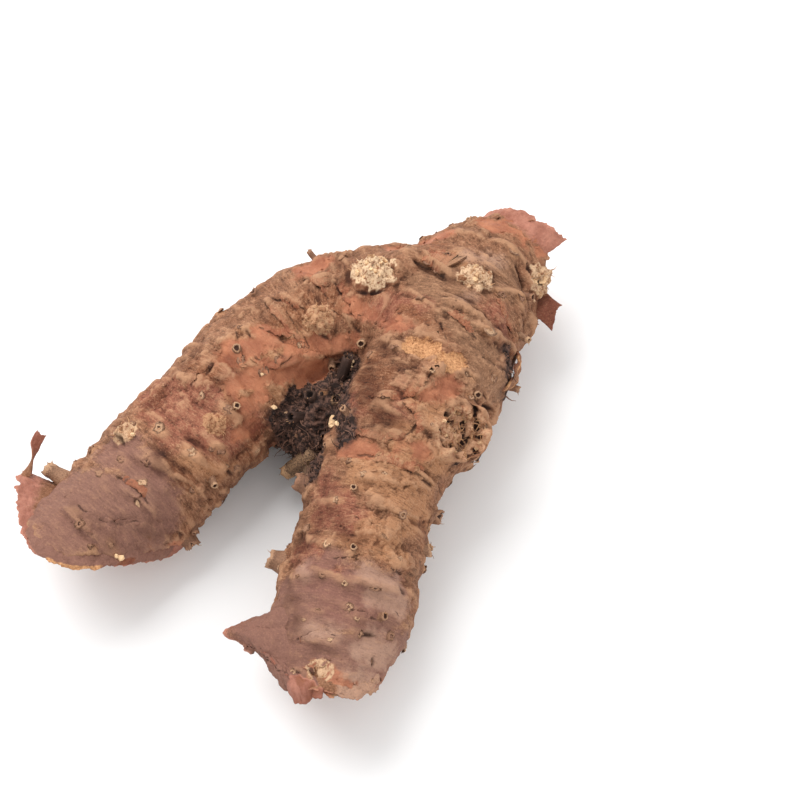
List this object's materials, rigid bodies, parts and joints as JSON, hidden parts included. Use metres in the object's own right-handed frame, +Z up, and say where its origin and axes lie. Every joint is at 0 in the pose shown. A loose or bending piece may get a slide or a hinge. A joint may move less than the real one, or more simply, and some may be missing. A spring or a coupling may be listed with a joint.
{
  "type": "rhodiola root",
  "caption": "Dried forked rhizome of a roseroot plant: thick ridged limbs with curling bark, dished cut ends, a broken side shoot, crumbling scars and rootlet stubs.",
  "frame": {"origin": "middle of the root's outer box at the surface it lies on", "axes": "+Z up from the surface; the stem runs from its cut foot at -Y to its cut crown at +X +Y, and the arm reaches towards -X"},
  "size_m": [0.1422, 0.1412, 0.0386],
  "materials": {
    "bark": "dry matt taupe-brown bark with fine wrinkles, pinkish patches and grey dust",
    "inner_bark": "smooth salmon to red-brown skin under the peeled bark",
    "flesh": "dry pale tan crumbling flesh of scars, stubs and cut faces"
  },
  "bodies": {
    "root": {"rhodiola_root": "bark"}
  },
  "joints": []
}
